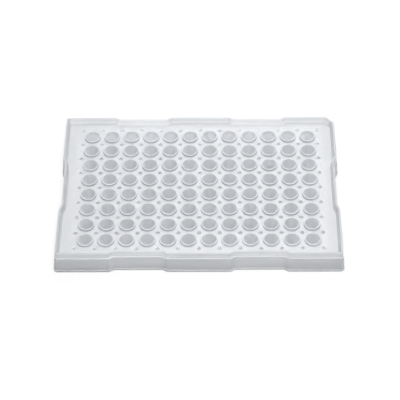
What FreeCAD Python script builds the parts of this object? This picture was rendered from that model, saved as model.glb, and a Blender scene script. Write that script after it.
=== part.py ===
"""A 96-well plate with V-bottomed wells, moulded in one piece.

The origin is the middle of the plane that the plate stands on. +X runs along
the long side, +Y to the back and +Z up. All sizes are in millimetres.
"""
import FreeCAD, Part
import math
import os
import Sketcher

doc = FreeCAD.newDocument("well_plate")

# ------------------------------------------------------------------ sizes

DRIVING_SIZES = {
    # wells on the standard grid, each a V-bottomed tube with a raised collar
    "well_pitch": 9.0,
    "well_columns": 12,
    "well_rows": 8,
    "mouth_radius": 3.15,
    "collar_radius": 3.65,
    "collar_height": 0.95,
    "well_tip_level": 1.8,
    "tube_radius": 2.85,
    "tube_tip_level": 0.3,
    # small openings through the deck, halfway between the wells
    "opening_radius": 0.95,
    # levels above the plane that the plate stands on
    "foot_height": 1.0,
    "deck_level": 7.9,
    "deck_thickness": 1.2,
    "ledge_level": 8.3,
    "rim_level": 10.9,
    # outside sizes over the pads, from the foot up to the rim
    "foot_length": 126.2,
    "foot_width": 85.5,
    "wall_length": 125.7,
    "wall_width": 84.8,
    "ledge_length": 124.9,
    "ledge_width": 84.8,
    "rim_length": 124.1,
    "rim_width": 83.9,
    # thicknesses of the rim and of the wall under it
    "rim_thickness": 0.8,
    "rim_slope": 0.9,
    "wall_thickness": 1.3,
    # the recesses of the outline, and the double bends at their ends
    "recess_depth": 1.15,
    "centre_pad": 29.6,
    "corner_pads_apart": 75.7,
    "side_bend": 2.6,
    "end_recess": 28.5,
    "end_bend": 4.7,
    # three rounded corners, and a cut one that marks which way round it is
    "corner_radius": 1.9,
    "inner_corner_radius": 1.0,
    "cut_length": 5.2,
    "cut_width": 4.4,
}

sheet = doc.addObject("Spreadsheet::Sheet", "Sizes")
for row, (alias, value) in enumerate(DRIVING_SIZES.items(), start=1):
    sheet.set(f"A{row}", alias.replace("_", " "))
    sheet.set(f"B{row}", str(value))
    sheet.setAlias(f"B{row}", alias)
doc.recompute()

body = doc.addObject("PartDesign::Body", "Plate")
body.Label = "well_plate"


def worth(formula):
    """The value of a formula on the sheet's names."""
    return float(body.evalExpression(formula))


def origin_item(role):
    """One of the body's own origin planes or axes."""
    return next(item for item in body.Origin.OriginFeatures if item.Role == role)


def new_sketch(name, role, level="0"):
    """An empty sketch on an origin plane, lifted to a level."""
    sketch = body.newObject("Sketcher::SketchObject", name)
    sketch.AttachmentSupport = [(origin_item(role), "")]
    sketch.MapMode = "FlatFace"
    sketch.setExpression("AttachmentOffset.Base.z", level)
    return sketch


MIDDLE = (-1, 1)  # the sketch's own origin, as an edge and one of its points


def constrain(sketch, rules):
    """Add constraints to a sketch, and tie the sizes among them to the sheet.

    A rule is a kind, what it holds, and a formula or None. A distance is
    measured from the sketch's middle to a point, and the two change places
    where the formula is negative.
    """
    constraints, driven = [], []
    for kind, held, formula in rules:
        if formula is None:
            constraints.append(Sketcher.Constraint(kind, *held))
            continue
        value = worth(formula)
        if kind in ("DistanceX", "DistanceY"):
            held = (*held, *MIDDLE) if value < 0 else (*MIDDLE, *held)
        if value < 0:
            formula = f"-({formula})"
        driven.append((len(constraints), formula))
        constraints.append(Sketcher.Constraint(kind, *held, abs(value)))
    sketch.addConstraint(constraints)
    for number, formula in driven:
        sketch.setExpression(f"Constraints[{number}]", formula)


def finish(feature, adds):
    """Recompute a feature, and make sure that it added or removed material."""
    before = 0.0 if body.Shape.isNull() else body.Shape.Volume
    body.Tip = feature
    feature.Refine = False
    doc.recompute()
    gained = feature.Shape.Volume - before
    if (gained > 0) != adds or abs(gained) < 1.0:
        raise RuntimeError(f"{feature.Name} changed the volume by {gained:.3f}")
    return feature


# ------------------------------------------------------- the notched outline

START, END = 1, 2  # the two ends of an edge
CUT_AFTER = 1  # the cut corner ends the right side


def minus(formula):
    return f"-({formula})"


def turned(turn, along, out):
    """X and Y of a place on a side: turn 0 is the front, 1 the right end."""
    places = [(along, minus(out)), (out, along), (minus(along), out), (minus(out), minus(along))]
    return places[turn]


def arc(centre, first, second):
    """The arc that runs anticlockwise about a centre between two points."""
    angles = [math.atan2(point.y - centre.y, point.x - centre.x) for point in (first, second)]
    circle = Part.Circle(centre, FreeCAD.Vector(0, 0, 1), centre.distanceToPoint(first))
    return Part.ArcOfCircle(circle, *angles)


def double_bend(before, after, heading):
    """Two equal arcs between two parallel straights, with their first ends."""
    inward = FreeCAD.Vector(-heading.y, heading.x, 0)
    span = after - before
    step = span.dot(inward)
    radius = span.Length**2 / (4 * step)
    middle = (before + after) * 0.5
    first_centre = before + inward * radius
    second_centre = after - inward * radius
    if step > 0:
        return [(arc(first_centre, before, middle), START), (arc(second_centre, after, middle), END)]
    return [(arc(first_centre, middle, before), END), (arc(second_centre, middle, after), START)]


def outline(name, level, length, width, radius="Sizes.corner_radius", inset="0"):
    """The plate's outline at one level, drawn anticlockwise from the front.

    Each side is a row of straight pads and recesses with a double bend at
    each step. The back right corner is cut straight, the others are round.
    """
    sketch = new_sketch(name, "XY_Plane", level)
    reach = [f"({length}) / 2", f"({width}) / 2"]
    side_steps = [
        "-Sizes.corner_pads_apart / 2",
        "-Sizes.centre_pad / 2",
        "Sizes.centre_pad / 2",
        "Sizes.corner_pads_apart / 2",
    ]
    end_steps = ["-Sizes.end_recess / 2", "Sizes.end_recess / 2"]
    trimmed = f"(2 - sqrt(2)) * ({inset})"
    cut_along_side = f"(Sizes.cut_length - {trimmed})"
    cut_along_end = f"(Sizes.cut_width - {trimmed})"

    # the straights of the four sides, as formulas of where they start and end
    sides = [
        (side_steps, "Sizes.side_bend", radius, radius),
        (end_steps, "Sizes.end_bend", radius, cut_along_end),
        (side_steps, "Sizes.side_bend", cut_along_side, radius),
        (end_steps, "Sizes.end_bend", radius, radius),
    ]
    straights = []
    for turn, (steps, bend, first_corner, last_corner) in enumerate(sides):
        along, out = reach[turn % 2], reach[1 - turn % 2]
        marks = [f"{first_corner} - {along}"]
        for step in steps:
            marks += [f"{step} - {bend} / 2", f"{step} + {bend} / 2"]
        marks.append(f"{along} - {last_corner}")
        for i in range(0, len(marks), 2):
            distance = f"{out} - Sizes.recess_depth" if i % 4 == 2 else out
            start = turned(turn, marks[i], distance)
            end = turned(turn, marks[i + 1], distance)
            straights.append((turn, start, end))

    # the edges in their order, each with the end that it is entered by
    edges, rules = [], []
    for number, (turn, start, end) in enumerate(straights):
        following_turn, following, _ = straights[(number + 1) % len(straights)]
        first, last, after = (
            FreeCAD.Vector(worth(x), worth(y), 0) for x, y in (start, end, following)
        )
        heading = (last - first).normalize()
        line = len(edges)
        edges.append((Part.LineSegment(first, last), START))
        along, across = ("Y", "X") if turn % 2 else ("X", "Y")
        rules.append(("Vertical" if turn % 2 else "Horizontal", (line,), None))
        rules.append((f"Distance{across}", (line, START), start["XY".index(across)]))
        starts_side = straights[number - 1][0] != turn
        ends_side = following_turn != turn
        if not starts_side or turn == CUT_AFTER + 1:
            rules.append((f"Distance{along}", (line, START), start["XY".index(along)]))
        if not ends_side or turn == CUT_AFTER:
            rules.append((f"Distance{along}", (line, END), end["XY".index(along)]))
        if not ends_side:
            edges += double_bend(last, after, heading)
            rules.append(("Equal", (line + 1, line + 2), None))
        elif turn == CUT_AFTER:
            edges.append((Part.LineSegment(last, after), START))
        else:
            centre = last + FreeCAD.Vector(-heading.y, heading.x, 0) * worth(radius)
            edges.append((arc(centre, last, after), START))
            rules.append(("Radius", (line + 1,), radius))
    sketch.addGeometry([edge for edge, _ in edges], False)

    for number, (edge, entry) in enumerate(edges):
        before = number - 1 if number else len(edges) - 1
        meeting = (before, START + END - edges[before][1], number, entry)
        both_straight = all(isinstance(edges[i][0], Part.LineSegment) for i in (before, number))
        rules.append(("Coincident" if both_straight else "Tangent", meeting, None))
    constrain(sketch, rules)
    return sketch


# ------------------------------------------------------------ skirt and rim


def pad(name, profile, height):
    """A straight pad upwards from its outline."""
    feature = body.newObject("PartDesign::Pad", name)
    feature.Profile = profile
    feature.setExpression("Length", height)
    return finish(feature, adds=True)


def pocket(name, profile, depth, upwards=False):
    """A straight pocket, cut downwards from its outline unless told."""
    feature = body.newObject("PartDesign::Pocket", name)
    feature.Profile = profile
    feature.Reversed = upwards
    feature.setExpression("Length", depth)
    return finish(feature, adds=False)


def loft(name, lower, upper, adds):
    """A form with straight sloping walls between two profiles."""
    kind = "AdditiveLoft" if adds else "SubtractiveLoft"
    feature = body.newObject(f"PartDesign::{kind}", name)
    feature.Profile = lower
    feature.Sections = [upper]
    feature.Ruled = True
    return finish(feature, adds)


# the foot, a lip all round that the plate stands on
foot_outline = outline("FootOutline", "0", "Sizes.foot_length", "Sizes.foot_width")
pad("Foot", foot_outline, "Sizes.foot_height")

# the skirt wall leans in up to a narrow ledge, where a lid or a gripper sits
wall_foot = outline("WallFoot", "Sizes.foot_height", "Sizes.wall_length", "Sizes.wall_width")
wall_top = outline("WallTop", "Sizes.ledge_level", "Sizes.ledge_length", "Sizes.ledge_width")
loft("Wall", wall_foot, wall_top, adds=True)

# the thin rim stands up from the ledge
rim_outline = outline("RimOutline", "Sizes.ledge_level", "Sizes.rim_length", "Sizes.rim_width")
pad("Rim", rim_outline, "Sizes.rim_level - Sizes.ledge_level")

# the tray inside the rim, with its wall sloping down to the deck
floor_inset = "(Sizes.rim_thickness + Sizes.rim_slope)"
tray_floor = outline(
    "TrayFloor",
    "Sizes.deck_level",
    f"Sizes.rim_length - 2 * {floor_inset}",
    f"Sizes.rim_width - 2 * {floor_inset}",
    "Sizes.inner_corner_radius",
    floor_inset,
)
tray_mouth = outline(
    "TrayMouth",
    "Sizes.rim_level",
    "Sizes.rim_length - 2 * Sizes.rim_thickness",
    "Sizes.rim_width - 2 * Sizes.rim_thickness",
    "Sizes.inner_corner_radius",
    "Sizes.rim_thickness",
)
loft("Tray", tray_floor, tray_mouth, adds=False)

# the open underside of the skirt, up to the deck
under_deck = "(Sizes.deck_level - Sizes.deck_thickness)"
cavity_outline = outline(
    "CavityOutline",
    "0",
    "Sizes.ledge_length - 2 * Sizes.wall_thickness",
    "Sizes.ledge_width - 2 * Sizes.wall_thickness",
    "Sizes.inner_corner_radius",
    "Sizes.wall_thickness",
)
pocket("Cavity", cavity_outline, under_deck, upwards=True)

# ------------------------------------------------------- wells and openings

CENTRE = 3  # the middle of a circle
WELL_SIDES = 10
OPENING_SIDES = 6


def many_sided(name, level, radius, sides, columns, rows):
    """A near-round profile of flats, at the front left place of a grid.

    Flats keep the mesh of the many repeated forms light. The corners lie on
    a construction circle.
    """
    sketch = new_sketch(name, "XY_Plane", level)
    right = f"-({columns} - 1) * Sizes.well_pitch / 2"
    back = f"-({rows} - 1) * Sizes.well_pitch / 2"
    centre = FreeCAD.Vector(worth(right), worth(back), 0)
    reach = worth(radius)
    turns = [2 * math.pi * (i + 0.5) / sides for i in range(sides)]
    corners = [centre + FreeCAD.Vector(math.cos(a), math.sin(a), 0) * reach for a in turns]
    flats = [Part.LineSegment(corners[i - 1], corners[i]) for i in range(sides)]
    sketch.addGeometry(flats, False)
    circle = Part.Circle(centre, FreeCAD.Vector(0, 0, 1), reach)
    ring = sketch.addGeometry(circle, True)
    rules = [("Vertical", (0,), None)]
    for i in range(sides):
        rules.append(("Coincident", (i - 1 if i else sides - 1, END, i, START), None))
        rules.append(("PointOnObject", (i, START, ring), None))
    rules += [("Equal", (0, i), None) for i in range(1, sides)]
    rules += [
        ("DistanceX", (ring, CENTRE), right),
        ("DistanceY", (ring, CENTRE), back),
        ("Radius", (ring,), radius),
    ]
    constrain(sketch, rules)
    return sketch


def tip(name, level):
    """The point that a well or its tube ends in, under the first well."""
    sketch = new_sketch(name, "XY_Plane", level)
    right = "-(Sizes.well_columns - 1) * Sizes.well_pitch / 2"
    back = "-(Sizes.well_rows - 1) * Sizes.well_pitch / 2"
    place = FreeCAD.Vector(worth(right), worth(back), 0)
    sketch.addGeometry(Part.Point(place), False)
    constrain(sketch, [("DistanceX", (0, START), right), ("DistanceY", (0, START), back)])
    return sketch


def grid(name, originals, columns, rows, adds):
    """Repeat features along the plate and across it, on the wells' pitch."""
    feature = body.newObject("PartDesign::LinearPattern", name)
    feature.Originals = originals
    feature.Direction = (origin_item("X_Axis"), [""])
    feature.Direction2 = (origin_item("Y_Axis"), [""])
    feature.setExpression("Length", f"({columns} - 1) * Sizes.well_pitch")
    feature.setExpression("Length2", f"({rows} - 1) * Sizes.well_pitch")
    feature.setExpression("Occurrences", columns)
    feature.setExpression("Occurrences2", rows)
    return finish(feature, adds)


COLUMNS, ROWS = "Sizes.well_columns", "Sizes.well_rows"

# an opening through the deck at every middle of four wells, and around them
openings = (f"{COLUMNS} + 1", f"{ROWS} + 1")
opening_profile = many_sided(
    "OpeningProfile", "Sizes.deck_level", "Sizes.opening_radius", OPENING_SIDES, *openings
)
opening = pocket("Opening", opening_profile, "Sizes.deck_thickness")
grid("Openings", [opening], *openings, adds=False)

# each well's tube hangs from the deck, and its collar stands up from it
wells_grid = (WELL_SIDES, COLUMNS, ROWS)
mouth_level = "Sizes.deck_level + Sizes.collar_height"
tube_top = many_sided("TubeTop", under_deck, "Sizes.tube_radius", *wells_grid)
tube_tip = tip("TubeTip", "Sizes.tube_tip_level")
tube = loft("Tube", tube_top, tube_tip, adds=True)
collar_foot = many_sided("CollarFoot", "Sizes.deck_level", "Sizes.collar_radius", *wells_grid)
collar = pad("Collar", collar_foot, "Sizes.collar_height")

# the well itself is a V-shaped hollow down from the collar's lip
well_mouth = many_sided("WellMouth", mouth_level, "Sizes.mouth_radius", *wells_grid)
well_tip = tip("WellTip", "Sizes.well_tip_level")
well = loft("Well", well_mouth, well_tip, adds=False)
grid("Wells", [tube, collar, well], COLUMNS, ROWS, adds=True)

# ------------------------------------------------------------- check, write

for item in doc.Objects:
    if {"Invalid", "Error"} & set(item.State):
        raise RuntimeError(f"{item.Name} failed: {item.State}")
if body.Shape.isNull() or not body.Shape.isValid() or len(body.Shape.Solids) != 1:
    raise RuntimeError("the plate is not one sound solid")
box = body.Shape.BoundBox
print(f"{body.Label}: {box.XLength:.2f} x {box.YLength:.2f} x {box.ZLength:.2f} mm")
print(f"volume {body.Shape.Volume:.0f} mm3, {len(body.Shape.Faces)} faces")

os.makedirs("parts", exist_ok=True)
body.Shape.exportStep(f"parts/{body.Label}.step")
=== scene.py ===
import math

import bmesh
import bpy
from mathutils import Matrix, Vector

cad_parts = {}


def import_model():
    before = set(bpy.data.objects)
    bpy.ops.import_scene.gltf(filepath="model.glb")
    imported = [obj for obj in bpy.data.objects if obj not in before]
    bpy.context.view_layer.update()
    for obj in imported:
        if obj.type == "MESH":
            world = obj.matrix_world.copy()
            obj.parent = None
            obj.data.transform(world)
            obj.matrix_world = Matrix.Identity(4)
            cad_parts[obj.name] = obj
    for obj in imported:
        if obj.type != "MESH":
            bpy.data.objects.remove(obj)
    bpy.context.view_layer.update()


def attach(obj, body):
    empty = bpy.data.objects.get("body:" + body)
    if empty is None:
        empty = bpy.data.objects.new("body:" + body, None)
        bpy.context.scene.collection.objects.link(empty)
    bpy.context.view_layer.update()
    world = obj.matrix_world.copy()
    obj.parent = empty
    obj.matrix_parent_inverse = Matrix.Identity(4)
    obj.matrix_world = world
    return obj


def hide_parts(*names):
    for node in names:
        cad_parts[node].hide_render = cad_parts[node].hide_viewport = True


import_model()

# --------------------------------------------------------------- the skirt
# The foot, wall, ledge and rim are one wall of natural polypropylene that is
# moulded right round the deck. It starts as the notched outline of the foot,
# and is drawn up and inwards from level to level. All sizes are in mm.

FOOT_LENGTH, FOOT_WIDTH, FOOT_HEIGHT = 126.2, 85.5, 0.85
LIP_WIDTH, LIP_RISE = 0.4, 0.05
WALL_HEIGHT, WALL_LEAN_END = 7.4, 0.4
LEDGE_INSET, LEDGE_SIDE_EXTRA = 0.4, 0.2
RIM_HEIGHT, RIM_THICKNESS = 2.6, 0.8
TRAY_DEPTH, TRAY_SLOPE = 3.0, 0.9
CAVITY_INSET, CAVITY_END_EXTRA, CAVITY_DEPTH = 1.65, 0.3, 6.7
DECK_LEVEL = FOOT_HEIGHT + LIP_RISE + WALL_HEIGHT + RIM_HEIGHT - TRAY_DEPTH

SIDE_STEPS = (14.8, 37.85)  # from the middle of a long side to its bends
END_STEPS = (14.25,)  # from the middle of a short side to its bends
RECESS_DEPTH = 1.15
SIDE_BEND, END_BEND, BEND_SEGMENTS = 2.6, 4.7, 3
CORNER_RADIUS, CORNER_SEGMENTS = 1.9, 5
CUT_LENGTH, CUT_WIDTH = 5.2, 4.4
EDGE_ROUNDING, ROUNDING_SEGMENTS = 0.07, 2
ROUNDED_FROM = math.radians(55)  # edges that turn by more than this are rounded
NEAR = 0.02  # places that are closer than this count as one
CUT_TOLERANCE = 0.001


def choose(test):
    """Select only the vertices that pass a test, with what lies between them."""
    mesh = bmesh.from_edit_mesh(bpy.context.edit_object.data)
    for vertex in mesh.verts:
        vertex.select = bool(test(vertex))
    mesh.select_flush_mode()
    bmesh.update_edit_mesh(bpy.context.edit_object.data)


def chosen():
    """The numbers of the selected vertices."""
    mesh = bmesh.from_edit_mesh(bpy.context.edit_object.data)
    return {vertex.index for vertex in mesh.verts if vertex.select}


def cut_across(axis, place, tolerance):
    """Cut the whole sheet along the line where one coordinate is at a place."""
    at, normal = [0.0, 0.0, 0.0], [0.0, 0.0, 0.0]
    at[axis], normal[axis] = place, 1.0
    bpy.ops.mesh.select_all(action="SELECT")
    bpy.ops.mesh.bisect(plane_co=at, plane_no=normal, threshold=tolerance)


def round_corners(test, offset, segments):
    """Round the corners of the flat outline that pass a test."""
    choose(test)
    bpy.ops.mesh.bevel(offset=offset, segments=segments, profile=0.5, affect="VERTICES")


def lift(height):
    """Extrude the selected face straight up or down."""
    bpy.ops.mesh.extrude_region_move(TRANSFORM_OT_translate={"value": (0, 0, height)})


def draw_in(along, across):
    """Move the ends and sides of the selected outline in, corners and all."""
    outline = chosen()
    mesh = bmesh.from_edit_mesh(bpy.context.edit_object.data)
    reach = [max(v.co[axis] for v in mesh.verts if v.select) for axis in (0, 1)]
    for axis, step in enumerate((along, across)):
        for side in (1, -1):
            edge = reach[axis] - CORNER_RADIUS - NEAR
            choose(lambda v: v.index in outline and side * v.co[axis] > edge)
            move = [0.0, 0.0, 0.0]
            move[axis] = -side * step
            bpy.ops.transform.translate(value=move)
    choose(lambda v: v.index in outline)


def tangent_length(bend):
    """How far each corner of a double bend is rounded back along its edges."""
    return (bend**2 + RECESS_DEPTH**2) / (4 * bend)


bpy.ops.object.select_all(action="DESELECT")
bpy.ops.mesh.primitive_plane_add(size=1)
plate = bpy.context.object
plate.name = plate.data.name = "moulded_plate"
bpy.ops.object.mode_set(mode="EDIT")
bpy.ops.mesh.select_mode(type="VERT")
bpy.ops.transform.resize(value=(FOOT_LENGTH, FOOT_WIDTH, 1))

# the sheet is cut where the recesses begin and end, and these are pushed in
side_reach, end_reach = FOOT_WIDTH / 2, FOOT_LENGTH / 2
for axis, steps, bend in ((0, SIDE_STEPS, SIDE_BEND), (1, END_STEPS, END_BEND)):
    slant = bend / 2 - tangent_length(bend)
    for step in steps:
        for place in (step - slant, step + slant, -step - slant, -step + slant):
            cut_across(axis, place, CUT_TOLERANCE)
for side in (1, -1):
    choose(
        lambda v: SIDE_STEPS[0] < abs(v.co.x) < SIDE_STEPS[1]
        and side * v.co.y > side_reach - NEAR
    )
    bpy.ops.transform.translate(value=(0, -side * RECESS_DEPTH, 0))
    choose(lambda v: abs(v.co.y) < END_STEPS[0] and side * v.co.x > end_reach - NEAR)
    bpy.ops.transform.translate(value=(-side * RECESS_DEPTH, 0, 0))
bpy.ops.mesh.select_all(action="SELECT")
bpy.ops.mesh.dissolve_faces()

# one corner is cut, the other three are rounded, and so is each bend
bpy.ops.mesh.select_all(action="SELECT")
bpy.ops.mesh.bisect(
    plane_co=(end_reach, side_reach - CUT_WIDTH, 0),
    plane_no=(CUT_WIDTH, CUT_LENGTH, 0),
    threshold=CUT_TOLERANCE,
    clear_outer=True,
)
round_corners(
    lambda v: abs(v.co.x) > end_reach - NEAR and abs(v.co.y) > side_reach - NEAR,
    CORNER_RADIUS,
    CORNER_SEGMENTS,
)
round_corners(
    lambda v: abs(v.co.x) < SIDE_STEPS[1] + SIDE_BEND / 2
    and abs(v.co.y) > side_reach - 2 * RECESS_DEPTH,
    tangent_length(SIDE_BEND),
    BEND_SEGMENTS,
)
round_corners(
    lambda v: abs(v.co.y) < END_STEPS[0] + END_BEND / 2
    and abs(v.co.x) > end_reach - 2 * RECESS_DEPTH,
    tangent_length(END_BEND),
    BEND_SEGMENTS,
)
bpy.ops.mesh.select_all(action="SELECT")
bpy.ops.mesh.remove_doubles(threshold=NEAR / 2)

# the foot and its lip, the leaning wall, the ledge and the rim, and then the
# slope of the tray down to the deck
bpy.ops.mesh.select_all(action="SELECT")
lift(FOOT_HEIGHT)
bpy.ops.mesh.inset(thickness=LIP_WIDTH, depth=LIP_RISE)
lift(WALL_HEIGHT)
draw_in(WALL_LEAN_END, 0)
bpy.ops.mesh.inset(thickness=LEDGE_INSET)
draw_in(0, LEDGE_SIDE_EXTRA)
lift(RIM_HEIGHT)
bpy.ops.mesh.inset(thickness=RIM_THICKNESS)
lift(-TRAY_DEPTH)
draw_in(TRAY_SLOPE, TRAY_SLOPE)

# the open underside, up to the lower face of the deck
choose(lambda v: abs(v.co.z) < NEAR)
bpy.ops.mesh.inset(thickness=CAVITY_INSET)
draw_in(CAVITY_END_EXTRA, 0)
lift(CAVITY_DEPTH)
bpy.ops.mesh.select_all(action="SELECT")
bpy.ops.mesh.normals_make_consistent(inside=False)
bpy.ops.object.mode_set(mode="OBJECT")

rounding = plate.modifiers.new("edge rounding", "BEVEL")
rounding.width = EDGE_ROUNDING
rounding.segments = ROUNDING_SEGMENTS
rounding.limit_method = "ANGLE"
rounding.angle_limit = ROUNDED_FROM
bpy.ops.object.modifier_apply(modifier=rounding.name)

# --------------------------------------------------------------- the wells
# Each well is a V-shaped hollow with a raised collar round its mouth and a
# tube of the same form hanging under the deck. One is shaped from a circle
# in an eight-sided patch of deck, and arrayed over the standard 9 mm grid.

PITCH, COLUMNS, ROWS = 9.0, 12, 8
WELL_PLACE = Vector((-(COLUMNS - 1) / 2, -(ROWS - 1) / 2, 0)) * PITCH
WELL_SIDES = 8
HALF_SIDE = math.pi / WELL_SIDES  # half of one side, as an angle about the well
# a patch is its place, its reach to a corner, how many sides it has, its turn
WELL_PATCH = (WELL_PLACE, PITCH / 2 / math.cos(HALF_SIDE), WELL_SIDES, HALF_SIDE)
CUTS_IN_A_SIDE = 2
WELL_RINGS = (  # radius and level, up the collar, over its lip, down the well
    (3.74, 7.90),
    (3.67, 7.93),
    (3.65, 8.00),
    (3.63, 8.78),
    (3.59, 8.84),
    (3.53, 8.85),
    (3.20, 8.85),
    (3.11, 8.83),
    (3.05, 8.76),
    (0.55, 2.45),
    (0.30, 1.98),
)
WELL_TIP = 1.8
UNDER_DECK = CAVITY_DEPTH
TUBE_RINGS = ((3.02, 6.70), (2.90, 6.64), (2.82, 6.50), (0.75, 1.20), (0.42, 0.50))
TUBE_TIP = 0.3


def patch_with_circle(patch, level, radius):
    """A flat patch of deck between a straight-sided outline and a circle."""
    place, reach, sides, turn = patch
    at = (place.x, place.y, level)
    edges = CUTS_IN_A_SIDE + 1
    bpy.ops.mesh.primitive_circle_add(
        vertices=sides, radius=reach, location=at, rotation=(0, 0, turn)
    )
    bpy.ops.mesh.subdivide(number_cuts=CUTS_IN_A_SIDE)
    outline = chosen()
    bpy.ops.mesh.primitive_circle_add(
        vertices=edges * sides, radius=radius, location=at, rotation=(0, 0, turn / edges)
    )
    circle = chosen()
    choose(lambda v: v.index in outline or v.index in circle)
    bpy.ops.mesh.bridge_edge_loops()
    choose(lambda v: v.index in circle)


def draw_rings(place, rings):
    """Extrude the selected circle through rings of a radius and a level."""
    for (radius, level), (new_radius, new_level) in zip(rings, rings[1:]):
        bpy.ops.mesh.extrude_edges_move(
            TRANSFORM_OT_translate={"value": (0, 0, new_level - level)}
        )
        share = new_radius / radius
        bpy.ops.transform.resize(
            value=(share, share, 1), center_override=(place.x, place.y, new_level)
        )


def close_tip(level, tip):
    """Close the selected ring with a point a little beyond it."""
    bpy.ops.mesh.extrude_edges_move(TRANSFORM_OT_translate={"value": (0, 0, tip - level)})
    bpy.ops.mesh.merge(type="CENTER")


def spread(piece, columns, rows):
    """Repeat a piece over the grid, and merge where its patches meet."""
    for axis, count in ((0, columns), (1, rows)):
        array = piece.modifiers.new("row", "ARRAY")
        array.count = count
        array.use_relative_offset = False
        array.use_constant_offset = True
        array.constant_offset_displace = [PITCH if i == axis else 0.0 for i in range(3)]
        array.use_merge_vertices = True
        array.merge_threshold = NEAR / 2
        bpy.ops.object.modifier_apply(modifier=array.name)


def new_piece_to_shape():
    """An empty mesh object, open in edit mode."""
    bpy.ops.object.select_all(action="DESELECT")
    bpy.ops.mesh.primitive_plane_add(size=1)
    bpy.ops.object.mode_set(mode="EDIT")
    bpy.ops.mesh.delete(type="VERT")
    return bpy.context.object


wells = new_piece_to_shape()
for level, rings, tip in (
    (DECK_LEVEL, WELL_RINGS, WELL_TIP),
    (UNDER_DECK, TUBE_RINGS, TUBE_TIP),
):
    first_radius, last_level = rings[0][0], rings[-1][1]
    patch_with_circle(WELL_PATCH, level, first_radius)
    draw_rings(WELL_PLACE, rings)
    close_tip(last_level, tip)
bpy.ops.object.mode_set(mode="OBJECT")
spread(wells, COLUMNS, ROWS)

# ------------------------------------------------------- the deck openings
# Small round openings go through the deck between every four wells and
# around the outer ones. Pins in the mould leave them, with a soft edge. Each
# sits in a four-sided patch that fills the gap between the wells' patches.

OPENING_PLACE = WELL_PLACE - Vector((PITCH, PITCH, 0)) / 2
OPENING_PATCH = (OPENING_PLACE, PITCH / 2 * (1 - math.tan(HALF_SIDE)), 4, 0)
OPENING_RINGS = (  # radius and level, from the top of the deck to its underside
    (1.12, 7.90),
    (1.00, 7.86),
    (0.95, 7.74),
    (0.95, 6.82),
    (1.04, 6.70),
)

openings = new_piece_to_shape()
patch_with_circle(OPENING_PATCH, DECK_LEVEL, OPENING_RINGS[0][0])
draw_rings(OPENING_PLACE, OPENING_RINGS)
patch_with_circle(OPENING_PATCH, UNDER_DECK, OPENING_RINGS[-1][0])
bpy.ops.object.mode_set(mode="OBJECT")
spread(openings, COLUMNS + 1, ROWS + 1)

# The skirt, the wells and the openings become one closed moulding. The deck's
# two plain faces make way for the patches, and the gap round these is filled.

MANY_CORNERS = 20  # only the deck's plain faces have more corners than this
MM = 0.001
SMOOTH_BELOW = math.radians(38)

bpy.ops.object.select_all(action="DESELECT")
for piece in (wells, openings, plate):
    piece.select_set(True)
bpy.context.view_layer.objects.active = plate
bpy.ops.object.join()
bpy.ops.object.mode_set(mode="EDIT")
for level in (DECK_LEVEL, UNDER_DECK):
    mesh = bmesh.from_edit_mesh(plate.data)
    for face in mesh.faces:
        on_level = abs(face.calc_center_median().z - level) < NEAR
        face.select = len(face.verts) > MANY_CORNERS and on_level
    bmesh.update_edit_mesh(plate.data)
    bpy.ops.mesh.delete(type="ONLY_FACE")
bpy.ops.mesh.select_all(action="SELECT")
bpy.ops.mesh.remove_doubles(threshold=NEAR / 2)
for level in (DECK_LEVEL, UNDER_DECK):
    mesh = bmesh.from_edit_mesh(plate.data)
    for item in (*mesh.verts, *mesh.edges, *mesh.faces):
        item.select = False
    for edge in mesh.edges:
        if edge.is_boundary and all(abs(v.co.z - level) < NEAR for v in edge.verts):
            edge.select_set(True)
    bmesh.update_edit_mesh(plate.data)
    bpy.ops.mesh.fill(use_beauty=True)
bpy.ops.mesh.select_all(action="SELECT")
bpy.ops.mesh.normals_make_consistent(inside=False)
bpy.ops.object.mode_set(mode="OBJECT")

plate.scale = (MM, MM, MM)
bpy.ops.object.transform_apply(location=False, rotation=False, scale=True)
bpy.ops.object.shade_smooth_by_angle(angle=SMOOTH_BELOW)
weighted = plate.modifiers.new("weighted normals", "WEIGHTED_NORMAL")
weighted.keep_sharp = True
bpy.ops.object.modifier_apply(modifier=weighted.name)

# ------------------------------------------------------------- the plastic
# The moulding is natural polypropylene, a cool white with a satin surface.
# Light soaks into it, and shines through the thin deck and tubes more than
# through the thick foot and ledge.

# where each part of the moulding gives way to the next, from and to, in mm:
# how far out along the plate and across it, and then its levels
TRAY_END, TRAY_SIDE = (60.0, 60.6), (39.7, 40.3)
FIELD_END, FIELD_SIDE = (54.5, 57.5), (36.5, 39.5)
OUTER_WALLS_FROM = (31.0, 32.2)
FOOT_FACE_TOP, FOOT_TOP = (0.7, 0.9), (1.3, 1.6)
WALL_SHADE = (3.0, 7.5)
TUBES_TOP = (7.0, 8.0)
LEDGE_BOTTOM, LEDGE_TOP = (7.9, 8.2), (8.4, 8.6)
RIM_BOTTOM, RIM_SHADE = (8.5, 8.9), (9.2, 9.8)
COLLAR_BOTTOM, COLLAR_TOP = (7.86, 7.96), (8.6, 8.8)
COLLAR_INNER, COLLAR_OUTER = (3.56, 3.62), (3.75, 3.9)  # radii about a well

CLEAR_WHITE, DULL_WHITE = (0.81, 0.82, 0.835, 1), (0.775, 0.785, 0.80, 1)
SHADED_GREY = (0.45, 0.47, 0.50, 1)
CLOUD_SCALE, GRAIN_SCALE = 60.0, 1600.0
SMOOTHEST, CLOUD_ROUGHNESS, GRAIN_ROUGHNESS = 0.26, 0.1, 0.12
GRAIN_STRENGTH, GRAIN_DEPTH = 0.15, 0.00005
CORNER_REACH, CORNER_SAMPLES = 0.0013, 8
# how much painted shade each part takes, from 0 for white to 1
CORNER_PAINTED_SHADE, RIM_TOP_PAINTED_SHADE, INNER_TUBE_PAINTED_SHADE, FOOT_FACE_PAINTED_SHADE = 0.8, 0.8, 0.25, 0.5
WALL_PAINTED_SHADE, WALL_TOP_MORE_PAINTED_SHADE = 0.32, 0.5

MILKY_WHITE = (0.96, 0.963, 0.97, 1)
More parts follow.
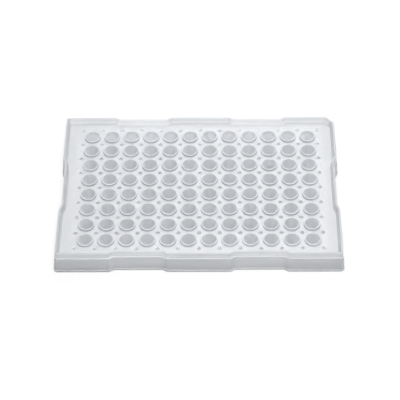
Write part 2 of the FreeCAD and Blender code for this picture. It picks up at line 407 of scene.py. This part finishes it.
# the share of light that goes through the wall and through the tray, and how
# much more or less of it goes through the parts of each
WALL_SHARE, FOOT_MORE, RIM_MORE = 0.5, -0.3, 0.05
TRAY_SHARE, FIELD_MORE, TUBE_MORE, OUTER_TUBE_MORE = 0.7, -0.12, 0.02, 0.38
COLLAR_LESS = 0.35


class Shade:
    """A shader socket, so that sums can be written on shader values."""

    tree = None

    def __init__(self, socket):
        self.socket = socket

    @classmethod
    def node(cls, kind, settings=None, sockets=None, output=0):
        """Add a node, set it up, fill its sockets and give one output."""
        made = cls.tree.nodes.new(kind)
        for name, value in (settings or {}).items():
            setattr(made, name, value)
        for name, value in (sockets or {}).items():
            if isinstance(value, cls):
                cls.tree.links.new(value.socket, made.inputs[name])
            else:
                made.inputs[name].default_value = value
        return cls(made.outputs[output])

    def feed(self, socket):
        """Link this value to a socket of a node that is there already."""
        Shade.tree.links.new(self.socket, socket)

    def math(self, operation, other):
        """This value and another one, put through a Math node."""
        return Shade.node("ShaderNodeMath", {"operation": operation}, {0: self, 1: other})

    def __add__(self, other):
        return self.math("ADD", other)

    def __mul__(self, other):
        return self.math("MULTIPLY", other)

    def __sub__(self, other):
        return self.math("SUBTRACT", other)

    def __rsub__(self, other):
        return self * -1.0 + other

    def __abs__(self):
        return self.math("ABSOLUTE", 0.0)

    __radd__ = __add__
    __rmul__ = __mul__


def after(value, edge):
    """0 before an edge and 1 after it, with a smooth step where it is."""
    begin, end = edge
    return Shade.node(
        "ShaderNodeMapRange",
        {"interpolation_type": "SMOOTHSTEP"},
        {"Value": value, "From Min": begin * MM, "From Max": end * MM},
    )


def before(value, edge):
    """1 before an edge and 0 after it."""
    return 1 - after(value, edge)


def vector_math(operation, vectors, output="Vector"):
    """Vectors put through a Vector Math node."""
    return Shade.node(
        "ShaderNodeVectorMath", {"operation": operation}, dict(enumerate(vectors)), output
    )


def noise(scale, detail):
    """Soft spots of a given scale, fixed to the moulding."""
    return Shade.node(
        "ShaderNodeTexNoise", None, {"Vector": place, "Scale": scale, "Detail": detail}
    )


def mixed(amount, colour, other):
    """A colour with an amount of another one in it."""
    return Shade.node(
        "ShaderNodeMix",
        {"data_type": "RGBA"},
        {"Factor": amount, "A": colour, "B": other},
        "Result",
    )


moulding = bpy.data.materials.new("natural_polypropylene")
moulding.use_nodes = True
Shade.tree = moulding.node_tree
surface = Shade.tree.nodes["Principled BSDF"]
place = Shade.node("ShaderNodeTexCoord", output="Object")
along, across, level = (
    Shade.node("ShaderNodeSeparateXYZ", None, {"Vector": place}, axis) for axis in "XYZ"
)

# the parts of the moulding, by where they are
inside = before(abs(along), TRAY_END) * before(abs(across), TRAY_SIDE)
field = before(abs(along), FIELD_END) * before(abs(across), FIELD_SIDE)
tubes = field * before(level, TUBES_TOP)
outer_walls = after(abs(across), OUTER_WALLS_FROM)
rim = after(level, RIM_BOTTOM)
rim_top = after(level, RIM_SHADE)
foot = before(level, FOOT_TOP)
foot_face = before(level, FOOT_FACE_TOP)
ledge = after(level, LEDGE_BOTTOM) * before(level, LEDGE_TOP)
wall = (1 - inside) * (1 - foot - ledge) * (1 - rim)

# the side of each collar, by how far it is from the middle of its own well:
# the grid is folded into one square with a well in its middle
square = PITCH * MM
flat = vector_math("MULTIPLY", (place, (1, 1, 0)))
folded = vector_math("WRAP", (flat, (square, square, 1), (0, 0, -1)))
radius = vector_math("DISTANCE", (folded, (square / 2, square / 2, 0)), "Value")
band = after(radius, COLLAR_INNER) * before(radius, COLLAR_OUTER)
collar = field * band * after(level, COLLAR_BOTTOM) * before(level, COLLAR_TOP)

# a cool white with shade painted into it: greyer on the collars' sides, in deep
# corners, on the wall, the top of the rim and the face of the foot, and on the inner tubes
cloud = noise(CLOUD_SCALE, detail=3.0)
grain = noise(GRAIN_SCALE, detail=2.0)
white = mixed(cloud, DULL_WHITE, CLEAR_WHITE)
openness = Shade.node(
    "ShaderNodeAmbientOcclusion",
    {"samples": CORNER_SAMPLES},
    {"Distance": CORNER_REACH},
    "AO",
)
painted_shade = (
    # painted shade on the collars' sides
    collar
    # painted shade in deep corners, as dark as they are closed in
    + (1 - openness) * field * CORNER_PAINTED_SHADE
    # painted shade on the top of the rim
    + rim_top * RIM_TOP_PAINTED_SHADE
    # painted shade on the tubes under the deck, but not on the outer walls of the outermost
    # tubes
    + tubes * (1 - outer_walls) * INNER_TUBE_PAINTED_SHADE
    # painted shade on the skirt's wall, with more of it towards the top
    + wall * (after(level, WALL_SHADE) * WALL_TOP_MORE_PAINTED_SHADE + WALL_PAINTED_SHADE)
    # painted shade on the face of the foot
    + foot_face * FOOT_FACE_PAINTED_SHADE
)
# the painted shade mixes the white towards the shaded grey
mixed(painted_shade, white, SHADED_GREY).feed(surface.inputs["Base Color"])
satin = grain * GRAIN_ROUGHNESS + cloud * CLOUD_ROUGHNESS + SMOOTHEST
satin.feed(surface.inputs["Roughness"])
bump = Shade.node(
    "ShaderNodeBump",
    None,
    {"Height": grain, "Strength": GRAIN_STRENGTH, "Distance": GRAIN_DEPTH},
)
bump.feed(surface.inputs["Normal"])
surface.inputs["IOR"].default_value = 1.49

# thin parts let more light through than thick ones, most of all the outer
# walls of the outer tubes, which have no others beside them
around = (foot + ledge) * FOOT_MORE + rim * RIM_MORE + WALL_SHARE
within = field * FIELD_MORE + tubes * (outer_walls * OUTER_TUBE_MORE + TUBE_MORE) + TRAY_SHARE
share = (1 - inside) * around + inside * within - collar * COLLAR_LESS
milky = Shade.node("ShaderNodeBsdfTranslucent", None, {"Color": MILKY_WHITE})
look = Shade.node(
    "ShaderNodeMixShader", None, {0: share, 1: Shade(surface.outputs[0]), 2: milky}
)
look.feed(Shade.tree.nodes["Material Output"].inputs["Surface"])
plate.data.materials.clear()
plate.data.materials.append(moulding)
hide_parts("well_plate")
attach(plate, "root")

# ------------------------------------------------------ floor and backdrop
# A plain white sheet of paper that the plate stands on. It is white to the
# eye around the plate, and takes the soft shadow of its foot. Under the plate
# it is only as bright as the light that reaches it there, and its white is a
# little lower, a touch of painted shade. Sizes are in metres.

FLOOR_SIZE = 6
UNDER_LENGTH, UNDER_WIDTH = 0.123, 0.0824
FLOOR_TOLERANCE = 0.00001

bpy.ops.object.select_all(action="DESELECT")
bpy.ops.mesh.primitive_plane_add(size=FLOOR_SIZE)
floor = bpy.context.object
floor.name = "floor"
bpy.ops.object.mode_set(mode="EDIT")
for axis, reach in ((0, UNDER_LENGTH / 2), (1, UNDER_WIDTH / 2)):
    for side in (1, -1):
        cut_across(axis, side * reach, FLOOR_TOLERANCE)
choose(lambda v: abs(v.co.x) < UNDER_LENGTH and abs(v.co.y) < UNDER_WIDTH)


def paper(name, white, share):
    """Matt paper of which a given share is plain white to the camera."""
    sheet = bpy.data.materials.new(name)
    sheet.use_nodes = True
    Shade.tree = sheet.node_tree
    matt = Shade.tree.nodes["Principled BSDF"]
    matt.inputs["Base Color"].default_value = (white, white, white, 1)
    matt.inputs["Roughness"].default_value = 0.9
    matt.inputs["Specular IOR Level"].default_value = 0.0
    seen = Shade.node("ShaderNodeLightPath", output="Is Camera Ray")
    bright = Shade.node("ShaderNodeEmission", None, {"Color": (1, 1, 1, 1), "Strength": 1.0})
    both = Shade.node(
        "ShaderNodeMixShader", None, {0: seen * share, 1: Shade(matt.outputs[0]), 2: bright}
    )
    both.feed(Shade.tree.nodes["Material Output"].inputs["Surface"])
    floor.data.materials.append(sheet)


paper("white_paper", white=0.9, share=0.85)
# under the plate the paper's white is a little lower: painted shade
paper("shaded_paper_under_the_plate", white=0.87, share=0.0)
floor.active_material_index = 1
bpy.ops.object.material_slot_assign()
bpy.ops.object.mode_set(mode="OBJECT")

# -------------------------------------------------------------- the lights
# Two soft lamps hang over the plate, and two behind it shine through its
# walls. The room is white to the eye, but sheds almost no light of its own.

ROOM_LIGHT = 0.04

world = bpy.data.worlds.new("studio")
bpy.context.scene.world = world
world.use_nodes = True
Shade.tree = world.node_tree
room = Shade.tree.nodes["Background"]
room.inputs["Color"].default_value = (1, 1, 1, 1)
seen = Shade.node("ShaderNodeLightPath", output="Is Camera Ray")
(seen * (1 - ROOM_LIGHT) + ROOM_LIGHT).feed(room.inputs["Strength"])


def softbox(name, place, size, power):
    """A square lamp aimed at the middle of the plate."""
    bpy.ops.object.light_add(type="AREA", location=place)
    lamp = bpy.context.object
    lamp.name = name
    lamp.data.size = size
    lamp.data.energy = power
    lamp.rotation_euler = Vector(place).to_track_quat("Z", "Y").to_euler()


softbox("top_lamp", place=(0.05, 0.0, 0.8), size=0.4, power=2.3)
softbox("front_lamp", place=(0.03, -0.15, 0.4), size=0.25, power=1.2)
softbox("rear_lamp", place=(0.03, 0.28, 0.38), size=0.2, power=1.25)
softbox("low_rear_lamp", place=(0.0, 0.3, 0.06), size=0.15, power=0.5)

# -------------------------------------------------------------- the camera
# A long lens looks down on the plate from the middle of its front, so that
# every well is seen. The light may bounce often enough to cross all the walls.

CAMERA_PLACE = (0.01042, -0.47220, 0.51502)
CAMERA_TURN = (42.491, 0.764, 0.413)  # in degrees
CAMERA_LENS = 139.2
LIGHT_BOUNCES = 12

bpy.ops.object.camera_add(
    location=CAMERA_PLACE, rotation=[math.radians(turn) for turn in CAMERA_TURN]
)
camera = bpy.context.object
camera.data.lens = CAMERA_LENS
bpy.context.scene.camera = camera
bpy.context.scene.view_settings.view_transform = "Standard"
bpy.context.scene.cycles.diffuse_bounces = LIGHT_BOUNCES
bpy.context.scene.cycles.max_bounces = LIGHT_BOUNCES
